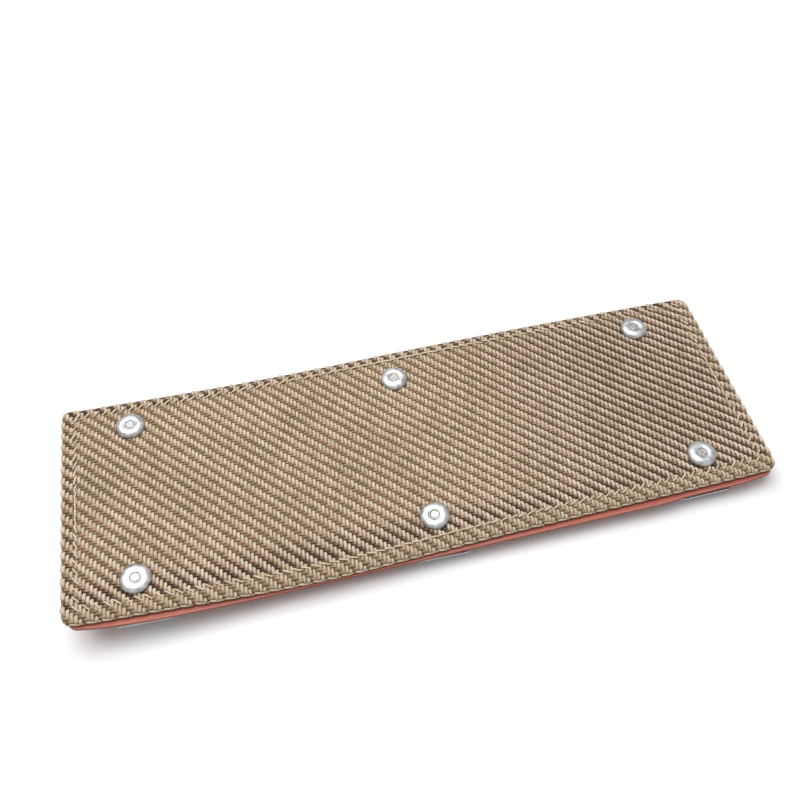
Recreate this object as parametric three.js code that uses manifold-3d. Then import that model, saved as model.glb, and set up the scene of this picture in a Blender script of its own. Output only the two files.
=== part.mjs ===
// Exhaust pipe heat shield: a flexible pad of twill basalt cloth over a needled glass batt and a
// silicone-coated backing, riveted to three stainless straps that stand it off the pipe.
// Millimetres, +Z up, +X along the pad, the long front edge facing -Y, resting on the strap bridges.

import * as THREE from 'three';
import { mergeVertices } from 'three/addons/utils/BufferGeometryUtils.js';
import Module from 'manifold-3d';

const wasm = await Module();
wasm.setup();

// Pad outline
const padLength = 305;
const padWidth = 103;
const padCornerRadius = 4;
const edgeBow = 2.6;

// Layers, from the backing upwards
const backingThickness = 2.2;
const battThickness = 1.6;
const clothThickness = 0.6;
const ridgeHeight = 0.6;
const layerGap = 0.3;

// Hem: the cover cloth rolled under along all four edges and stitched through
const hemWidth = 6;
const hemRollRadius = 2;
const stitchChannelWidth = 1.1;
const backingOverhangWidth = 0.8;
const backingInsetLength = 2;

// Twill: diagonal ridges, one for every four yarns
const yarnPitch = 1.4625;
const yarnsPerRidge = 4;
const ridgeCrestShare = 0.4;
const ridgeGrooveShare = 0.2;

// Curl: the left part of the pad lifts off the plane in a shallow bend, but lies flat on its strap
const bendStartX = -20;
const bendRadius = 893;
const endBendRadius = 125;
const flatMargin = 2;

// Rivets: dome head, 6.4 mm body, the broken mandrel left inside
const rivetFromEnd = 30.3;
const rivetFromSide = 14.3;
const leftRivetShift = -1.4;
const leftRivetTurn = -0.9;
const headDiameter = 12.7;
const headHeight = 2.7;
const headRimHeight = 0.8;
const headCrownWidth = 0.8;
const headSink = 0.5;
const shankDiameter = 6.4;
const shankClearance = 0.3;
const boreDiameter = 4;
const boreChamfer = 0.5;
const blindDiameter = 9.2;
const blindLength = 3.2;
const blindRounding = 1.2;
const mandrelClearance = 0.35;
const mandrelBreakDepth = 0.7;
const mandrelNeck = 0.4;
const mandrelHeadDiameter = 6;
const mandrelHeadLength = 1.1;
const rivetGap = 0.3;

// Straps: stainless strip, flat under the pad at both ends and joggled down to a bridge between the
// rivets, whose two slots let a clamp band pass over the bridge
const strapWidth = 24;
const strapThickness = 1;
const strapOverhang = 2;
const strapBridgeDrop = 5.4;
const strapBridgeRun = 3.5;
const strapSeatMargin = 0.2;
const strapBendRadius = 1;
const strapCornerRadius = 2;
const slotLength = 16;
const slotWidth = 6;
const slotCornerRadius = 2.5;
const slotFromCentre = 20;
const leftStrapOffset = 2.2;
const middleStrapOffset = 1.6;
const rightStrapOffset = -3.6;
const middleStrapShift = -2;

// Facets
const roundSegments = 20;
const curveSteps = 3;
const bendSegments = 12;
const ridgeStepAlong = 36;
const edgeRounding = [0, 0.12, 0.5, 1];

// Heights above the underside of the backing
const coverBottom = backingThickness + layerGap;
const battTop = coverBottom + battThickness;
const clothBottom = battTop + layerGap;
const grooveHeight = clothBottom + clothThickness;
const crestHeight = grooveHeight + ridgeHeight;
const headSeatHeight = crestHeight - headSink;
const ridgeRoot = 0.1;

// How far every cutting block reaches past what it cuts
const cutReach = 20;

// The underside of the backing where the pad is flat: the bridges stand on Z = 0
const backingBottom = strapBridgeDrop + strapThickness + layerGap;
const strapLength = padWidth + 2 * strapOverhang;
const rivetX = padLength / 2 - rivetFromEnd;
const rivetY = padWidth / 2 - rivetFromSide;
const leftStationX = leftRivetShift - rivetX;
const flatCentreX = leftStationX + leftStrapOffset;
const flatHalfLength = strapWidth / 2 + flatMargin;
const stations = [
  { name: 'left', x: leftStationX, turn: leftRivetTurn, strapOffset: leftStrapOffset, strapShift: 0 },
  { name: 'middle', x: 0, turn: 0, strapOffset: middleStrapOffset, strapShift: middleStrapShift },
  { name: 'right', x: rivetX, turn: 0, strapOffset: rightStrapOffset, strapShift: 0 },
];
const sides = [
  { name: 'front', y: -rivetY },
  { name: 'rear', y: rivetY },
];

const clothMaterial = new THREE.MeshStandardMaterial({ color: 0xa98e6c, roughness: 0.9, metalness: 0 });
const battMaterial = new THREE.MeshStandardMaterial({ color: 0xe9e4d4, roughness: 1, metalness: 0 });
const backingMaterial = new THREE.MeshStandardMaterial({ color: 0xb5523f, roughness: 0.6, metalness: 0 });
const stainlessMaterial = new THREE.MeshStandardMaterial({ color: 0xb9bbbd, roughness: 0.25, metalness: 1 });
const rivetMaterial = new THREE.MeshStandardMaterial({ color: 0xdfe1e4, roughness: 0.3, metalness: 1 });
const steelMaterial = new THREE.MeshStandardMaterial({ color: 0x8c8a88, roughness: 0.5, metalness: 1 });

// Lift of the pad at x. It grows with the square of the way past the bend's start, and keeps one
// slope over the left strap, which holds the pad flat there.
function curl(x) {
  const strapZoneStart = flatCentreX + flatHalfLength;
  const strapZoneEnd = flatCentreX - flatHalfLength;
  const pastStart = Math.max(0, bendStartX - Math.max(x, strapZoneStart));
  const alongStrap = Math.max(0, strapZoneStart - x);
  const pastStrap = Math.max(0, strapZoneEnd - x);
  const bendLift = pastStart ** 2 / (2 * bendRadius);
  const slope = pastStart / bendRadius;
  return bendLift + slope * alongStrap + pastStrap ** 2 / (2 * endBendRadius);
}

function curlSlope(x) {
  const step = 0.5;
  return (curl(x + step) - curl(x - step)) / (2 * step);
}

// The exact solid of a closed geometry, for joining and cutting
function toSolid(geometry) {
  const bare = geometry.clone();
  bare.deleteAttribute('normal');
  bare.deleteAttribute('uv');
  const merged = mergeVertices(bare, 1e-4);
  return new wasm.Manifold(new wasm.Mesh({
    numProp: 3,
    vertProperties: new Float32Array(merged.attributes.position.array),
    triVerts: new Uint32Array(merged.index.array),
  }));
}

function toGeometry(solid) {
  const mesh = solid.getMesh();
  const geometry = new THREE.BufferGeometry();
  geometry.setAttribute('position', new THREE.BufferAttribute(mesh.vertProperties, 3));
  geometry.setIndex(new THREE.BufferAttribute(mesh.triVerts, 1));
  geometry.computeVertexNormals();
  return geometry;
}

function namedMesh(name, geometry, material) {
  const mesh = new THREE.Mesh(geometry, material);
  mesh.name = name;
  return mesh;
}

// A closed slab over a grid of points place(i, j) = { x, y, bottom, top }
function gridSlab(columns, rows, place) {
  const positions = [];
  const index = [];
  for (const level of ['bottom', 'top']) {
    for (let j = 0; j < rows; j += 1) {
      for (let i = 0; i < columns; i += 1) {
        const point = place(i, j);
        positions.push(point.x, point.y, point[level]);
      }
    }
  }
  const lower = (i, j) => j * columns + i;
  const upper = (i, j) => columns * rows + lower(i, j);
  const last = columns - 1;
  const quad = (a, b, c, d) => index.push(a, b, c, a, c, d);
  for (let j = 0; j < rows - 1; j += 1) {
    for (let i = 0; i < columns - 1; i += 1) {
      quad(upper(i, j), upper(i + 1, j), upper(i + 1, j + 1), upper(i, j + 1));
      quad(lower(i, j), lower(i, j + 1), lower(i + 1, j + 1), lower(i + 1, j));
    }
  }
  for (let i = 0; i < columns - 1; i += 1) {
    quad(lower(i, 0), lower(i + 1, 0), upper(i + 1, 0), upper(i, 0));
    quad(lower(i + 1, rows - 1), lower(i, rows - 1), upper(i, rows - 1), upper(i + 1, rows - 1));
  }
  for (let j = 0; j < rows - 1; j += 1) {
    quad(lower(0, j + 1), lower(0, j), upper(0, j), upper(0, j + 1));
    quad(lower(last, j), lower(last, j + 1), upper(last, j + 1), upper(last, j));
  }
  const geometry = new THREE.BufferGeometry();
  geometry.setAttribute('position', new THREE.Float32BufferAttribute(positions, 3));
  geometry.setIndex(index);
  return geometry;
}

// Grid lines from -half to half: even steps between the corners, and close ones where the edge
// rounds off
function gridLines(half, edgeRadius, segments) {
  const inner = half - padCornerRadius;
  const lines = [];
  for (let k = 0; k <= segments; k += 1) {
    lines.push(-inner + (2 * inner * k) / segments);
  }
  const shares = edgeRadius === 0 ? [0] : edgeRounding;
  const edge = shares.map((share) => half - share * edgeRadius);
  return [...edge.map((value) => -value), ...lines, ...edge.toReversed()];
}

// A layer of the pad that follows the curl, with its upper edges rounded. Its long edges bow
// outwards between the corners, most at the middle of the pad.
function curledLayer(length, width, bottom, top, edgeRadius) {
  const xs = gridLines(length / 2, edgeRadius, bendSegments);
  const ys = gridLines(width / 2, edgeRadius, 1);
  return toSolid(gridSlab(xs.length, ys.length, (i, j) => {
    const fromEdge = Math.min(length / 2 - Math.abs(xs[i]), width / 2 - Math.abs(ys[j]));
    const inside = Math.max(0, edgeRadius - fromEdge);
    const drop = edgeRadius - Math.sqrt(edgeRadius ** 2 - inside ** 2);
    const lift = backingBottom + curl(xs[i]);
    const alongShare = xs[i] / (length / 2 - padCornerRadius);
    const acrossShare = ys[j] / (padWidth / 2);
    const bow = edgeBow * Math.max(0, 1 - alongShare ** 2) * acrossShare * Math.abs(acrossShare);
    return { x: xs[i], y: ys[j] + bow, bottom: lift + bottom, top: lift + top - drop };
  }));
}

// An upright block that rounds a layer's four corners and leaves its long edges' bow
function cornerBlock(length, width) {
  const depth = 2 * cutReach + crestHeight;
  const geometry = new THREE.ExtrudeGeometry(roundedRectangle(length, width, padCornerRadius), {
    depth,
    bevelEnabled: false,
    curveSegments: curveSteps,
  });
  geometry.translate(0, 0, backingBottom - cutReach);
  const between = new THREE.BoxGeometry(length - 2 * padCornerRadius, width + 2 * cutReach, depth);
  between.translate(0, 0, backingBottom - cutReach + depth / 2);
  return toSolid(geometry).add(toSolid(between));
}

function roundedRectangle(length, width, radius) {
  const x = length / 2;
  const y = width / 2;
  const path = new THREE.Shape();
  path.moveTo(-x + radius, -y);
  path.lineTo(x - radius, -y);
  path.absarc(x - radius, -y + radius, radius, -Math.PI / 2, 0, false);
  path.lineTo(x, y - radius);
  path.absarc(x - radius, y - radius, radius, 0, Math.PI / 2, false);
  path.lineTo(-x + radius, y);
  path.absarc(-x + radius, y - radius, radius, Math.PI / 2, Math.PI, false);
  path.lineTo(-x, -y + radius);
  path.absarc(-x + radius, -y + radius, radius, Math.PI, 1.5 * Math.PI, false);
  return path;
}

// Places something of a station, given from the underside of the backing, square to the pad there
function stationMatrix(station) {
  const matrix = new THREE.Matrix4().makeRotationY(-Math.atan(curlSlope(station.x)));
  matrix.multiply(new THREE.Matrix4().makeRotationZ(THREE.MathUtils.degToRad(station.turn)));
  matrix.setPosition(station.x, 0, backingBottom + curl(station.x));
  return matrix;
}

// A round hole's cutter, from a height upwards
function holeCutter(diameter, y, from) {
  const cylinder = new THREE.CylinderGeometry(diameter / 2, diameter / 2, 2 * cutReach, roundSegments);
  cylinder.rotateX(Math.PI / 2);
  cylinder.translate(0, y, from + cutReach);
  return cylinder;
}

// Cuts a layer at all six rivets, from a height upwards
function cutAtRivets(solid, diameter, from) {
  let result = solid;
  for (const station of stations) {
    for (const side of sides) {
      const cutter = holeCutter(diameter, side.y, from);
      cutter.applyMatrix4(stationMatrix(station));
      result = result.subtract(toSolid(cutter));
    }
  }
  return result;
}

// The twill's ridges: a slab whose top rises and falls across the 45 degree diagonal
function twillRidges() {
  const pitch = (yarnPitch * yarnsPerRidge) / Math.SQRT2;
  const reach = (padLength + padWidth) / 2 / Math.SQRT2 + pitch;
  const ridges = Math.ceil((2 * reach) / pitch);
  const steps = Math.ceil((2 * reach) / ridgeStepAlong);
  const slopeShare = (1 - ridgeCrestShare - ridgeGrooveShare) / 2;
  const stops = [
    [0, 0],
    [ridgeGrooveShare, 0],
    [ridgeGrooveShare + slopeShare, 1],
    [ridgeGrooveShare + slopeShare + ridgeCrestShare, 1],
  ];
  const across = [];
  for (let k = 0; k < ridges; k += 1) {
    for (const [share, height] of stops) {
      across.push([(k + share) * pitch - reach, height]);
    }
  }
  return toSolid(gridSlab(steps + 1, across.length, (i, j) => {
    const along = -reach + (2 * reach * i) / steps;
    const [offset, height] = across[j];
    const x = (along + offset) / Math.SQRT2;
    const y = (-along + offset) / Math.SQRT2;
    const lift = backingBottom + curl(x);
    const rise = height * (ridgeHeight + ridgeRoot) - ridgeRoot;
    const bottom = lift + clothBottom + clothThickness / 2;
    return { x, y, bottom, top: lift + grooveHeight + rise };
  }));
}

// Cover: one ridged cloth, rolled under at the hem, with the batt's pocket open to the backing. The
// stitching pulls a channel into the cloth between the rolled hem and the ridged field.
function outerCover() {
  const rolled = curledLayer(padLength, padWidth, coverBottom, crestHeight, hemRollRadius);
  const inset = 2 * hemWidth;
  const field = curledLayer(padLength - inset, padWidth - inset, grooveHeight, cutReach, 0);
  const pocket = curledLayer(padLength - inset, padWidth - inset, -cutReach, clothBottom, 0);
  const ridgeInset = inset + 2 * stitchChannelWidth;
  const ridgeArea = curledLayer(padLength - ridgeInset, padWidth - ridgeInset, -cutReach, cutReach, 0);
  let cover = rolled.intersect(cornerBlock(padLength, padWidth));
  cover = cover.subtract(field).subtract(pocket);
  cover = cover.add(twillRidges().intersect(ridgeArea));
  cover = cutAtRivets(cover, headDiameter + 2 * rivetGap, headSeatHeight);
  cover = cutAtRivets(cover, shankDiameter + 2 * shankClearance, -cutReach);
  return namedMesh('outer_cover', toGeometry(cover), clothMaterial);
}

function insulationBatt() {
  const inset = 2 * (hemWidth + layerGap);
  const plate = curledLayer(padLength - inset, padWidth - inset, coverBottom, battTop, 0);
  const batt = cutAtRivets(plate, shankDiameter + 2 * shankClearance, -cutReach);
  return namedMesh('insulation_batt', toGeometry(batt), battMaterial);
}

function backingSheet() {
  const length = padLength - 2 * backingInsetLength;
  const width = padWidth + 2 * backingOverhangWidth;
  const plate = curledLayer(length, width, 0, backingThickness, backingThickness / 3);
  const trimmed = plate.intersect(cornerBlock(length, width));
  const sheet = cutAtRivets(trimmed, shankDiameter + 2 * shankClearance, -cutReach);
  return namedMesh('backing_sheet', toGeometry(sheet), backingMaterial);
}

// The strip's edge line in Y and Z: flat from each tip to past the rivet, then a joggle down to the
// bridge
function strapOutline() {
  const tip = strapLength / 2;
  const seatEnd = rivetY - blindDiameter / 2 - strapSeatMargin;
  const bridgeEnd = seatEnd - strapBridgeRun;
  const seatZ = -layerGap;
  const bridgeZ = seatZ - strapBridgeDrop;
  // The lower face's bends lie this much off the upper face's, which keeps one thickness
  const lean = strapThickness * Math.tan(Math.atan2(strapBridgeDrop, strapBridgeRun) / 2);
  const bend = strapBendRadius;
  const rightHalf = [
    { y: bridgeEnd, z: bridgeZ, radius: bend },
    { y: seatEnd, z: seatZ, radius: bend },
    { y: tip, z: seatZ, radius: 0 },
    { y: tip, z: seatZ - strapThickness, radius: 0 },
    { y: seatEnd + lean, z: seatZ - strapThickness, radius: bend },
    { y: bridgeEnd + lean, z: bridgeZ - strapThickness, radius: bend },
  ];
  const leftHalf = rightHalf.toReversed().map((corner) => ({ ...corner, y: -corner.y }));
  return roundedOutline([...rightHalf, ...leftHalf]);
}

// A closed outline through corners, each rounded by its own radius
function roundedOutline(corners) {
  const outline = new THREE.Shape();
  const points = corners.map((corner) => new THREE.Vector2(corner.y, corner.z));
  points.forEach((point, k) => {
    const radius = corners[k].radius;
    const towardsLast = points.at(k - 1).clone().sub(point).normalize();
    const towardsNext = points[(k + 1) % points.length].clone().sub(point).normalize();
    const start = point.clone().addScaledVector(towardsLast, radius);
    const end = point.clone().addScaledVector(towardsNext, radius);
    if (k === 0) {
      outline.moveTo(start.x, start.y);
    } else {
      outline.lineTo(start.x, start.y);
    }
    if (radius > 0) {
      outline.quadraticCurveTo(point.x, point.y, end.x, end.y);
    }
  });
  outline.closePath();
  return outline;
}

// An upright cutter of a rounded rectangle, centred on a strap or on one of its slots
function plateCutter(length, width, radius, y) {
  const geometry = new THREE.ExtrudeGeometry(roundedRectangle(length, width, radius), {
    depth: 2 * cutReach,
    bevelEnabled: false,
    curveSegments: curveSteps,
  });
  geometry.translate(0, y, -cutReach);
  return toSolid(geometry);
}

// A strap, set off its two rivets' line along the pad, and turned so that its front end lies
// further off by the station's shift
function strap(station) {
  const turn = Math.atan2(station.strapShift, strapLength / 2);
  const strip = new THREE.ExtrudeGeometry(strapOutline(), {
    depth: strapWidth,
    bevelEnabled: false,
    curveSegments: curveSteps,
  });
  // The outline's X and Y become Y and Z, and its depth runs along X
  strip.translate(0, 0, -strapWidth / 2);
  strip.applyMatrix4(new THREE.Matrix4().makeBasis(
    new THREE.Vector3(0, 1, 0),
    new THREE.Vector3(0, 0, 1),
    new THREE.Vector3(1, 0, 0),
  ));
  let solid = toSolid(strip).intersect(plateCutter(strapWidth, strapLength, strapCornerRadius, 0));
  for (const slotY of [-slotFromCentre, slotFromCentre]) {
    solid = solid.subtract(plateCutter(slotLength, slotWidth, slotCornerRadius, slotY));
  }
  for (const side of sides) {
    const hole = holeCutter(shankDiameter + 2 * shankClearance, side.y, -cutReach);
    hole.translate(-station.strapOffset, 0, 0);
    hole.rotateZ(-turn);
    solid = solid.subtract(toSolid(hole));
  }
  const mesh = namedMesh(`${station.name}_strap`, toGeometry(solid), stainlessMaterial);
  mesh.position.x = station.strapOffset;
  mesh.rotation.z = turn;
  return mesh;
}

// Where a rivet's parts lie above the underside of the backing
const rivetHeadBottom = headSeatHeight + rivetGap;
const rivetHeadTop = rivetHeadBottom + headHeight;
const blindTop = -layerGap - strapThickness - rivetGap;
const blindBottom = blindTop - blindLength;

// A rivet's body: dome head, shank, and the blind side folded out under the strap, bored through
function rivetBody(name) {
  const bore = boreDiameter / 2;
  const blind = blindDiameter / 2;
  const head = headDiameter / 2;
  const profile = new THREE.Path();
  profile.moveTo(bore, blindBottom);
  profile.lineTo(blind - blindRounding, blindBottom);
  profile.quadraticCurveTo(blind, blindBottom, blind, blindBottom + blindLength / 2);
  profile.quadraticCurveTo(blind, blindTop, blind - blindRounding, blindTop);
  profile.lineTo(shankDiameter / 2, blindTop);
  profile.lineTo(shankDiameter / 2, rivetHeadBottom);
  profile.lineTo(head, rivetHeadBottom);
  profile.lineTo(head, rivetHeadBottom + headRimHeight);
  profile.quadraticCurveTo(head, rivetHeadTop, bore + boreChamfer + headCrownWidth, rivetHeadTop);
  profile.lineTo(bore + boreChamfer, rivetHeadTop);
  profile.lineTo(bore, rivetHeadTop - boreChamfer);
  profile.lineTo(bore, blindBottom);
  const geometry = new THREE.LatheGeometry(profile.getPoints(curveSteps), roundSegments);
  geometry.rotateX(Math.PI / 2);
  return namedMesh(name, toGeometry(toSolid(geometry)), rivetMaterial);
}

// The mandrel's stub: its head closes the blind side, and its broken end shows in the rivet's head
function rivetMandrel(name) {
  const headTop = blindBottom - rivetGap;
  const breakHeight = rivetHeadTop - mandrelBreakDepth;
  const radius = boreDiameter / 2 - mandrelClearance;
  const headRadius = mandrelHeadDiameter / 2;
  const profile = new THREE.Path();
  profile.moveTo(0, headTop - mandrelHeadLength);
  profile.quadraticCurveTo(headRadius, headTop - mandrelHeadLength, headRadius, headTop);
  profile.lineTo(radius, headTop);
  profile.lineTo(radius, breakHeight - mandrelNeck);
  profile.lineTo(radius - mandrelNeck, breakHeight);
  profile.lineTo(0, breakHeight);
  const geometry = new THREE.LatheGeometry(profile.getPoints(curveSteps), roundSegments);
  geometry.rotateX(Math.PI / 2);
  return namedMesh(name, toGeometry(toSolid(geometry)), steelMaterial);
}

// A strap with its two rivets, placed square to the pad
function stationGroup(station) {
  const group = new THREE.Group();
  group.applyMatrix4(stationMatrix(station));
  group.add(strap(station));
  for (const side of sides) {
    const body = rivetBody(`rivet_${station.name}_${side.name}`);
    const mandrel = rivetMandrel(`mandrel_${station.name}_${side.name}`);
    body.position.y = side.y;
    mandrel.position.y = side.y;
    group.add(body, mandrel);
  }
  return group;
}

const shield = new THREE.Group();
shield.name = 'exhaust_pipe_heat_shield';
shield.add(outerCover(), insulationBatt(), backingSheet());
for (const station of stations) {
  shield.add(stationGroup(station));
}

export default shield;
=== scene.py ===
"""Exhaust pipe heat shield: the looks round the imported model.

A pad of twill basalt cloth, rolled and stitched at the hem, over a needled glass batt and a red
silicone-coated backing, with three stainless straps held by six dome-head blind rivets.
Laid out as an add-on and run as a script. Everything is in metres in the model's own frame.
"""

import math

import bmesh
import bpy
import numpy as np
from bpy.props import FloatProperty, FloatVectorProperty, IntProperty, PointerProperty
from bpy.types import Operator, Panel, PropertyGroup
from mathutils import Matrix, Vector


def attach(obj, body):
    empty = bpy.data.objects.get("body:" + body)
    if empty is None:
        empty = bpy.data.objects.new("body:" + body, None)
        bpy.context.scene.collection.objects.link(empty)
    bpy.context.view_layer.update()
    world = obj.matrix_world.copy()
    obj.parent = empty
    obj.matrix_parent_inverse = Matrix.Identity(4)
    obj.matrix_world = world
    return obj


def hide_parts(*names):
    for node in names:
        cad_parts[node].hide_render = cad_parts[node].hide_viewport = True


bl_info = {
    "name": "Exhaust Pipe Heat Shield",
    "version": (1, 0, 0),
    "blender": (4, 5, 0),
    "location": "View3D > Sidebar > Heat Shield",
    "description": "Builds a riveted, woven exhaust pipe heat shield pad round its model",
    "category": "Object",
}

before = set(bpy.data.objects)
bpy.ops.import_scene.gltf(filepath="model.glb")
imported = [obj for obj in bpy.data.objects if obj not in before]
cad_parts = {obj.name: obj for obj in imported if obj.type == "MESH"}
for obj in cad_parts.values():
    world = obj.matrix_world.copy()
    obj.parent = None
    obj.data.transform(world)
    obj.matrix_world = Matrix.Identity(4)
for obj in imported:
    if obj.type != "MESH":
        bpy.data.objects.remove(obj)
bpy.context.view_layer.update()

MM = 0.001

# Pad outline and the heights of its layers, as the model has them
PAD_LENGTH = 305.0 * MM
PAD_WIDTH = 103.0 * MM
CORNER_RADIUS = 4.0 * MM
BACKING_BOTTOM = 6.7 * MM
BACKING_THICKNESS = 2.2 * MM
BATT_BOTTOM = 9.2 * MM
BATT_TOP = 10.8 * MM
CLOTH_THICKNESS = 0.45 * MM
GROUND_TOP = 11.65 * MM

# The curl of the left part, and the flat stretch over the left strap
BEND_START = -20.0 * MM
BEND_RADIUS = 893.0 * MM
END_BEND_RADIUS = 125.0 * MM
FLAT_HALF_LENGTH = 14.0 * MM
FLAT_CENTRE = -121.4 * MM

# The cloth's long edges bow outwards, and the right end runs out a little, more at the rear
REAR_BOW = 2.9 * MM
FRONT_BOW = 0.5 * MM
FRONT_SWELL = 1.9 * MM
FRONT_SWELL_X = -50.0 * MM
END_RUN_START = 95.0 * MM
END_RUN = 2.0 * MM
END_SLANT = 1.7 * MM

# Rivets: three pairs along the pad, the left one a little further out and turned
RIVET_X = 122.2 * MM
RIVET_Y = 37.2 * MM
LEFT_RIVET_X = -123.6 * MM
LEFT_RIVET_TURN = -0.9
HEAD_RADIUS = 6.35 * MM
HEAD_BOTTOM = 12.1 * MM
HEAD_HEIGHT = 2.7 * MM
HEAD_RIM = 0.55 * MM
SHANK_RADIUS = 3.2 * MM
BORE_RADIUS = 2.0 * MM
BLIND_RADIUS = 4.6 * MM
BLIND_LENGTH = 3.2 * MM
BLIND_TOP = 5.1 * MM
STUB_RADIUS = 1.93 * MM
STUB_DEPTH = 0.42 * MM

# The rolled hem: its own half-ellipse at the edge, and the strip turned under
ROLL_ACROSS = 2.2 * MM
ROLL_DOWN = 1.22 * MM
ROLL_START = CORNER_RADIUS - ROLL_ACROSS
ROLL_STEP = (ROLL_ACROSS + ROLL_DOWN) / 2
HEM_WIDTH = 6.0 * MM

# The flat part of the cover's top, inside the roll: its half length and half width
CLOTH_INSET = 0.5 * MM
INNER = np.array([PAD_LENGTH / 2, PAD_WIDTH / 2]) - CLOTH_INSET - CORNER_RADIUS

# The stitched line, where the hem ends: its distance from the middle lines
STITCH_X = 146.3 * MM
STITCH_REAR = 46.6 * MM
STITCH_FRONT = -45.2 * MM

# The photograph's camera: angles in degrees, the point that it looks at and its distance
CAMERA_LENS = 35.0
CAMERA_AZIMUTH = -12.11
CAMERA_ELEVATION = 55.18
CAMERA_ROLL = -2.0
CAMERA_TARGET = (-0.08 * MM, 24.68 * MM, 12.3 * MM)
CAMERA_DISTANCE = 364.4 * MM


def linear(hex_text):
    """An sRGB hex colour as linear RGBA."""
    values = [int(hex_text[k:k + 2], 16) / 255 for k in (1, 3, 5)]
    return [v / 12.92 if v <= 0.04045 else ((v + 0.055) / 1.055) ** 2.4 for v in values] + [1.0]


class HEATSHIELD_PG_settings(PropertyGroup):
    """Sizes and colours of the shield that a user may change"""

    yarn_pitch: FloatProperty(
        name="Yarn pitch", description="Distance between neighbouring yarns, both ways",
        default=1.4625 * MM, min=0.2 * MM, subtype="DISTANCE", unit="LENGTH", precision=5)
    float_length: FloatProperty(
        name="Float length", description="Length of one warp yarn's float over two weft yarns",
        default=4.0 * MM, min=0.5 * MM, subtype="DISTANCE", unit="LENGTH", precision=5)
    float_rise: FloatProperty(
        name="Float rise", description="How far a warp float stands above the ground cloth",
        default=0.62 * MM, min=0.0, subtype="DISTANCE", unit="LENGTH", precision=5)
    stitch_pitch: FloatProperty(
        name="Stitch pitch", description="Length of one hem stitch with its gap",
        default=3.9 * MM, min=1.0 * MM, subtype="DISTANCE", unit="LENGTH", precision=5)
    thread_radius: FloatProperty(
        name="Thread radius", description="Radius of the hem's sewing thread",
        default=0.36 * MM, min=0.05 * MM, subtype="DISTANCE", unit="LENGTH", precision=5)
    round_segments: IntProperty(
        name="Round segments", description="Segments round a rivet", default=56, min=12, max=128)
    seed: IntProperty(
        name="Seed", description="Fixed seed of the yarns' small differences", default=7, min=0)
    backing_colour: FloatVectorProperty(
        name="Backing", description="Colour of the silicone coating", subtype="COLOR", size=3,
        default=tuple(linear("#A04A3A")[:3]), min=0.0, max=1.0)


# Helpers


def add(tree, kind, inputs=None, stops=None, **settings):
    """Adds one node with its settings, and its inputs as values or as links from sockets."""
    node = tree.nodes.new(kind)
    for name, value in settings.items():
        setattr(node, name, value)
    for name, value in (inputs or {}).items():
        if isinstance(value, bpy.types.NodeSocket):
            tree.links.new(value, node.inputs[name])
        else:
            node.inputs[name].default_value = value
    if stops:
        elements = node.color_ramp.elements
        while len(elements) > 1:
            elements.remove(elements[-1])
        elements[0].position, elements[0].color = stops[0]
        for position, colour in stops[1:]:
            elements.new(position).color = colour
    return node


def new_material(name, roughness):
    """An empty node material: its tree, its surface shader and the object's own coordinates."""
    material = bpy.data.materials.new(name)
    material.use_nodes = True
    tree = material.node_tree
    tree.nodes.clear()
    shader = add(tree, "ShaderNodeBsdfPrincipled", {"Roughness": roughness})
    add(tree, "ShaderNodeOutputMaterial", {"Surface": shader.outputs[0]})
    return material, tree, shader, add(tree, "ShaderNodeTexCoord").outputs["Object"]


def new_object(name, vertices, faces):
    """A mesh object at the origin, from points in metres."""
    mesh = bpy.data.meshes.new(name)
    mesh.from_pydata([tuple(p) for p in vertices], [], faces)
    obj = bpy.data.objects.new(name, mesh)
    bpy.context.scene.collection.objects.link(obj)
    return obj


def cleaned(obj, smooth=True):
    """Merges doubles, points the faces outwards and sets the shading."""
    work = bmesh.new()
    work.from_mesh(obj.data)
    bmesh.ops.remove_doubles(work, verts=work.verts, dist=0.004 * MM)
    bmesh.ops.dissolve_degenerate(work, edges=work.edges, dist=0.004 * MM)
    bmesh.ops.recalc_face_normals(work, faces=work.faces)
    work.to_mesh(obj.data)
    work.free()
    obj.data.shade_smooth() if smooth else obj.data.shade_flat()
    return obj


def points_of(obj):
    """A mesh's points as an array."""
    points = np.empty(len(obj.data.vertices) * 3)
    obj.data.vertices.foreach_get("co", points)
    return points.reshape(-1, 3)


def move_points(obj, points):
    """Writes an array back as the mesh's points."""
    obj.data.vertices.foreach_set("co", points.ravel())
    obj.data.update()


def node_tree(name, sizes):
    """A Geometry Nodes tree with its geometry sockets and one named input for each size."""
    tree = bpy.data.node_groups.new(name, "GeometryNodeTree")
    tree.interface.new_socket(name="Geometry", in_out="INPUT", socket_type="NodeSocketGeometry")
    tree.interface.new_socket(name="Geometry", in_out="OUTPUT", socket_type="NodeSocketGeometry")
    kinds = {float: "NodeSocketFloat", int: "NodeSocketInt", tuple: "NodeSocketVector",
             bpy.types.Material: "NodeSocketMaterial"}
    for size_name, value in sizes.items():
        tree.interface.new_socket(name=size_name, in_out="INPUT", socket_type=kinds[type(value)])
    return tree, add(tree, "NodeGroupInput"), add(tree, "NodeGroupOutput")


def end_tree(tree, last, size, result):
    """Ends a tree: its instances made real, and its material set."""
    real = add(tree, "GeometryNodeRealizeInstances", {"Geometry": last.outputs[0]})
    painted = add(tree, "GeometryNodeSetMaterial", {
        "Geometry": real.outputs[0], "Material": size["Material"]})
    tree.links.new(painted.outputs[0], result.inputs[0])


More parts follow.
